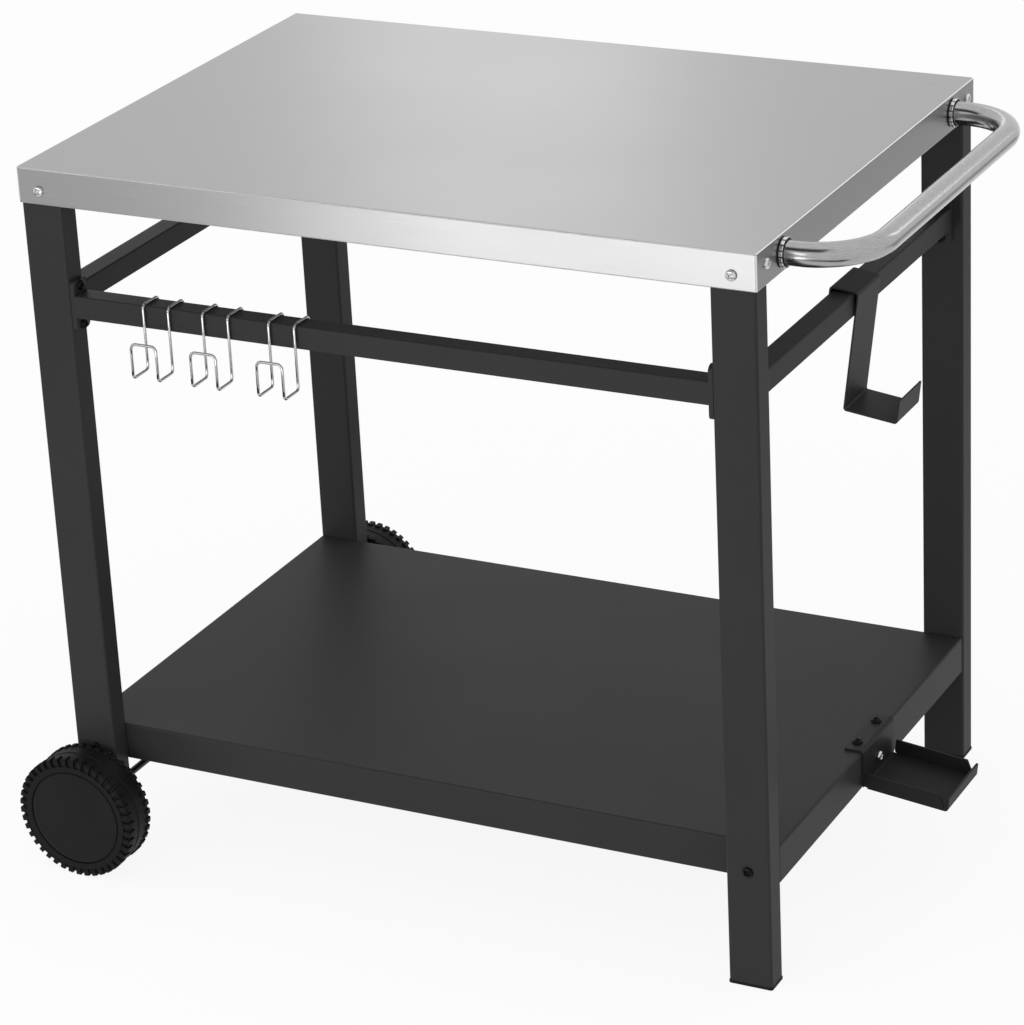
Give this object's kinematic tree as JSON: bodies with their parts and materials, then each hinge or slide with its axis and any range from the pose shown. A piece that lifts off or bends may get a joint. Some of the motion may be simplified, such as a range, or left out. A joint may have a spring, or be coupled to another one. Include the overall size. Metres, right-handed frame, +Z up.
{
  "type": "outdoor pizza oven table",
  "caption": "Wheeled outdoor cooking cart: folded steel top on black tube legs, lower shelf, push handle, sliding wire hooks, hanging strap and end bracket.",
  "frame": {"origin": "middle of the bounding box on the floor, 27.5 mm to the right of the tabletop's middle", "axes": "+X towards the push handle, +Y away from the hooks' side, +Z up"},
  "size_m": [0.9712, 0.695, 0.8],
  "materials": {
    "brushed_stainless": "brushed",
    "galvanised_channel": "dull",
    "black_powder_coat": "satin",
    "wheel_plastic": "matt",
    "hub_cap_plastic": "matt",
    "black_plastic": "matt",
    "zinc_steel": "zinc plated",
    "silver_screw": "bright",
    "black_screw": "satin",
    "bright_wire": "polished"
  },
  "bodies": {
    "cart": {"tabletop": "brushed_stainless", "handle_tube": "brushed_stainless", "handle_collar_front": "brushed_stainless", "handle_collar_back": "brushed_stainless", "top_stiffener_left": "galvanised_channel", "top_stiffener_right": "galvanised_channel", "leg_front_left": "black_powder_coat", "leg_front_right": "black_powder_coat", "leg_back_left": "black_powder_coat", "leg_back_right": "black_powder_coat", "left_rail": "black_powder_coat", "right_rail": "black_powder_coat", "front_rail": "black_powder_coat", "lower_shelf": "black_powder_coat", "tank_bracket": "black_powder_coat", "leg_cap_front_left": "black_plastic", "leg_cap_front_right": "black_plastic", "leg_cap_back_left": "black_plastic", "leg_cap_back_right": "black_plastic", "wheel_spacer_front": "black_plastic", "wheel_spacer_back": "black_plastic", "wheel_axle": "zinc_steel", "axle_push_nut_front": "zinc_steel", "axle_push_nut_back": "zinc_steel", "handle_plug_front": "zinc_steel", "handle_plug_back": "zinc_steel", "rail_nuts": "zinc_steel", "shelf_nuts": "zinc_steel", "bracket_nuts": "zinc_steel", "handle_bolts": "zinc_steel", "tabletop_screws": "silver_screw", "bracket_side_screw": "silver_screw", "rail_bolts": "black_screw", "shelf_bolts": "black_screw", "bracket_top_screws": "black_screw"},
    "front_wheel": {"wheel_front": "wheel_plastic", "hub_cap_front": "hub_cap_plastic"},
    "back_wheel": {"wheel_back": "wheel_plastic", "hub_cap_back": "hub_cap_plastic"},
    "left_hook": {"hook_left": "bright_wire"},
    "middle_hook": {"hook_middle": "bright_wire"},
    "right_hook": {"hook_right": "bright_wire"},
    "hanger": {"tank_hanger": "black_powder_coat"}
  },
  "joints": [
    {"name": "front_wheel_spin", "type": "hinge", "parent": "cart", "child": "front_wheel", "pos_m": [-0.4165, -0.325, 0.071], "axis": [0, 1, 0], "continuous": true},
    {"name": "back_wheel_spin", "type": "hinge", "parent": "cart", "child": "back_wheel", "pos_m": [-0.4165, 0.325, 0.071], "axis": [0, 1, 0], "continuous": true},
    {"name": "left_hook_slide", "type": "slide", "parent": "cart", "child": "left_hook", "axis": [1, 0, 0], "range_m": [-0.08, 0.018]},
    {"name": "middle_hook_slide", "type": "slide", "parent": "cart", "child": "middle_hook", "axis": [1, 0, 0], "range_m": [-0.018, 0.021]},
    {"name": "right_hook_slide", "type": "slide", "parent": "cart", "child": "right_hook", "axis": [1, 0, 0], "range_m": [-0.021, 0.45]},
    {"name": "hanger_slide", "type": "slide", "parent": "cart", "child": "hanger", "axis": [0, 1, 0], "range_m": [-0.235, 0.213]}
  ]
}
